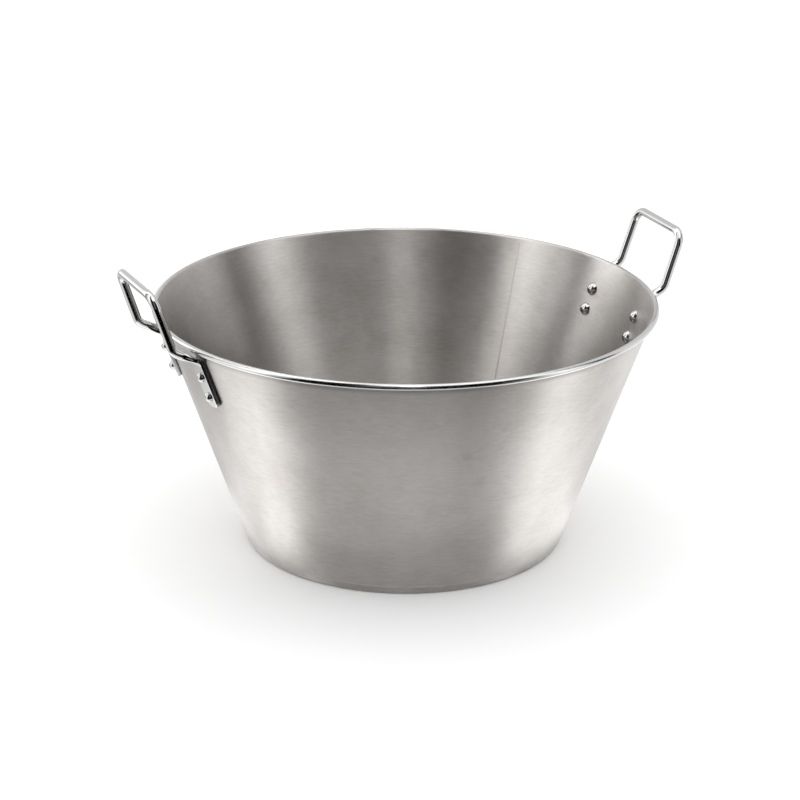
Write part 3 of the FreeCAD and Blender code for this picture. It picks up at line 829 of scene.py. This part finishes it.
# The ring's foot panels give way to near and then far ones by metres from the kettle's axis.
GLOW_LEVEL = 0.4 * MM
GLOW_REACH = (0.165, 3.9)
GLOW_FADE = (0.165, 0.20)
FOOT_TO_NEAR = (0.21, 0.29)
NEAR_TO_FAR = (0.38, 0.47)
GLOW_FOOT = [
    (0.00, 0.42), (0.175, 0.36), (0.225, 0.55), (0.27, 0.52), (0.30, 0.52), (0.328, 0.80),
    (0.356, 0.78), (0.380, 0.38), (0.398, 0.20), (0.60, 0.20), (0.617, 0.32), (0.64, 0.66),
    (0.67, 0.80), (0.74, 0.72), (0.769, 0.52), (0.825, 0.36),
]
GLOW_NEAR = [
    (0.00, 0.42), (0.10, 0.44), (0.175, 0.30), (0.205, 0.36), (0.238, 0.44), (0.256, 0.62),
    (0.298, 0.84), (0.324, 0.86), (0.345, 0.70), (0.363, 0.56), (0.384, 0.51), (0.405, 0.49),
    (0.55, 0.49), (0.565, 0.43), (0.585, 0.45), (0.597, 0.49), (0.617, 0.53), (0.638, 0.58),
    (0.659, 0.70), (0.682, 0.82), (0.706, 0.88), (0.734, 0.76), (0.769, 0.54), (0.825, 0.34),
]
GLOW_FAR = [
    (0.00, 0.40), (0.13, 0.34), (0.175, 0.22), (0.21, 0.26), (0.245, 0.32), (0.262, 0.54),
    (0.33, 0.45), (0.355, 0.20), (0.37, 0.00), (0.60, 0.00), (0.635, 0.15), (0.67, 0.45),
    (0.80, 0.52), (0.90, 0.40),
]


def floor_piece(colours):
    """A round floor: rings of radius r from its reach in to its middle, closed by a fan below."""
    middle, under = 0.4, -20 * MM
    rings, grain = spun(line((FLOOR_REACH, 0.0), (middle, 0.0), 24), 96)
    rings[..., 2] = FLOOR_LEVEL
    floor = skin("studio_floor", rings, grain, caps=[(0, 0, under), (0, 0, FLOOR_LEVEL)])
    floor.data.materials.append(floor_finish(colours))
    return floor


def tent_piece():
    """The reflection tent, rings of a half sphere: (R cos e cos a, R cos e sin a, R sin e)."""
    foot = -1.0
    last = math.pi / 2 * 0.98
    rise = np.linspace(0.0, last, 24)
    profile = TENT_RADIUS * np.stack([np.cos(rise), np.sin(rise)], -1)
    rings, grain = spun(profile, 96)
    tent = skin("light_tent", rings, grain, caps=[(0, 0, foot), (0, 0, TENT_RADIUS)])
    tent.data.materials.append(tent_finish())
    return tent


def glow_piece():
    """The floor ring: flat rings of radius r from its outer reach to its inner one."""
    inner, outer = GLOW_REACH
    rings, grain = spun(line((outer, GLOW_LEVEL), (inner, GLOW_LEVEL), 12), 128)
    glow = skin("light_glow", rings, grain)
    glow.data.materials.append(glow_finish())
    return glow


def make_stage(colours):
    """Pale floor, the two panels that only reflections see, white surroundings and the camera."""
    floor = floor_piece(colours)
    tent = tent_piece()
    glow = glow_piece()
    for panel in (tent, glow):
        panel.visible_camera = False
        panel.visible_diffuse = False
        panel.visible_transmission = False
        panel.visible_volume_scatter = False
        panel.visible_shadow = False
    world = bpy.data.worlds.new("studio")
    bpy.context.scene.world = world
    surroundings = Finish(world)
    light = surroundings.node("ShaderNodeBackground", None,
                              {"Color": (1.0, 1.0, 1.0, 1.0), "Strength": WORLD_STRENGTH})
    surroundings.node("ShaderNodeOutputWorld", None, {"Surface": light})
    bpy.context.scene.view_settings.view_transform = "Standard"
    make_camera()


def make_camera():
    """Long lens looking down at the kettle from the front left."""
    lens = bpy.data.cameras.new("studio_camera")
    lens.lens = CAMERA_LENS
    lens.sensor_width = 36.0
    lens.clip_start = 0.05
    lens.clip_end = 60.0
    lens.dof.use_dof = False
    camera = bpy.data.objects.new("studio_camera", lens)
    bpy.context.scene.collection.objects.link(camera)
    turn = (Matrix.Rotation(math.radians(CAMERA_AZIMUTH), 4, "Z")
            @ Matrix.Rotation(math.radians(90.0 - CAMERA_ELEVATION), 4, "X")
            @ Matrix.Rotation(math.radians(CAMERA_ROLL), 4, "Z"))
    back = turn @ Vector((0.0, 0.0, CAMERA_DISTANCE))
    camera.matrix_world = Matrix.Translation(CAMERA_AIM + back) @ turn
    bpy.context.scene.camera = camera


# ---------------------------------------------------------------- operators


def settle(piece, finish, slot, *nodes):
    """Gives a piece its finish, ties it to the kettle and hides the nodes it stands for."""
    piece.data.materials.append(finish)
    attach(piece, "root")
    if nodes:
        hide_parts(*nodes)


def shape_of(context):
    """The kettle's shape at the scene's sizes."""
    return Shape(context.scene.kettle_sizes)


class KETTLE_OT_wall(Operator):
    """Build the sloping wall with its rolled rim"""

    bl_idname = "kettle.wall"
    bl_label = "Wall"

    def execute(self, context):
        shape = shape_of(context)
        finish = brushed_steel("brushed_wall", context.scene.kettle_colours, 0.32, shape)
        settle(wall_piece(shape), finish, "brushed_wall", "kettle_wall")
        return {"FINISHED"}


class KETTLE_OT_base(Operator):
    """Build the pressed base"""

    bl_idname = "kettle.base"
    bl_label = "Base"

    def execute(self, context):
        finish = brushed_steel("brushed_base", context.scene.kettle_colours, 0.38)
        settle(base_piece(shape_of(context)), finish, "brushed_wall", "kettle_base")
        return {"FINISHED"}


class KETTLE_OT_welds(Operator):
    """Build the weld round the base and the wall's upright seam"""

    bl_idname = "kettle.welds"
    bl_label = "Welds"

    def execute(self, context):
        finish = weld_steel("ground_weld", context.scene.kettle_colours)
        settle(base_weld_piece(shape_of(context)), finish, "brushed_wall")
        settle(wall_seam_piece(shape_of(context)), finish, "brushed_wall")
        return {"FINISHED"}


class KETTLE_OT_handles(Operator):
    """Build both bent-rod handles with their flattened straps"""

    bl_idname = "kettle.handles"
    bl_label = "Handles"

    def execute(self, context):
        finish = polished_steel("polished_rod", context.scene.kettle_colours,
                                tone=1.0, rough=0.13, lines=(900.0, 900.0, 25.0))
        for side, heading, sense in SIDES:
            piece = handle_piece(shape_of(context), side, heading, sense)
            settle(piece, finish, "polished_rod", f"handle_{side}")
        return {"FINISHED"}


class KETTLE_OT_rivets(Operator):
    """Build the eight domed rivets"""

    bl_idname = "kettle.rivets"
    bl_label = "Rivets"

    def execute(self, context):
        finish = polished_steel("polished_rivet", context.scene.kettle_colours,
                                tone=0.95, rough=0.12, lines=(70.0, 70.0, 1400.0))
        for side, heading, sense in SIDES:
            for leg in (1, -1):
                for place in ("upper", "lower"):
                    piece = rivet_piece(shape_of(context), side, leg, place, heading, sense)
                    node = f"rivet_{side}_{LEG_NAMES[side, leg]}_{place}"
                    settle(piece, finish, "polished_rivet", node)
        return {"FINISHED"}


class KETTLE_OT_stage(Operator):
    """Set the pale floor, the soft studio light and the camera"""

    bl_idname = "kettle.stage"
    bl_label = "Stage"

    def execute(self, context):
        make_stage(context.scene.kettle_colours)
        return {"FINISHED"}


OPERATORS = (KETTLE_OT_wall, KETTLE_OT_base, KETTLE_OT_welds, KETTLE_OT_handles,
             KETTLE_OT_rivets, KETTLE_OT_stage)


class KETTLE_PT_sidebar(Panel):
    """Sizes, colours and a button for each group of pieces"""

    bl_label = "Brew Kettle"
    bl_idname = "KETTLE_PT_sidebar"
    bl_space_type = "VIEW_3D"
    bl_region_type = "UI"
    bl_category = "Brew Kettle"

    def draw(self, context):
        for group in (context.scene.kettle_sizes, context.scene.kettle_colours):
            column = self.layout.column(align=True)
            for name in group.__annotations__:
                column.prop(group, name)
        column = self.layout.column(align=True)
        for entry in OPERATORS:
            column.operator(entry.bl_idname)


CLASSES = (KettleSizes, KettleColours, *OPERATORS, KETTLE_PT_sidebar)


def register():
    """Adds the classes, and the kettle's sizes and colours to every scene."""
    for entry in CLASSES:
        bpy.utils.register_class(entry)
    bpy.types.Scene.kettle_sizes = PointerProperty(type=KettleSizes)
    bpy.types.Scene.kettle_colours = PointerProperty(type=KettleColours)


def unregister():
    """Takes back what register added."""
    del bpy.types.Scene.kettle_colours
    del bpy.types.Scene.kettle_sizes
    for entry in reversed(CLASSES):
        bpy.utils.unregister_class(entry)


def main():
    """Builds every piece and the stage."""
    register()
    for run in (bpy.ops.kettle.wall, bpy.ops.kettle.base, bpy.ops.kettle.welds,
                bpy.ops.kettle.handles, bpy.ops.kettle.rivets, bpy.ops.kettle.stage):
        run()


if __name__ == "__main__":
    main()
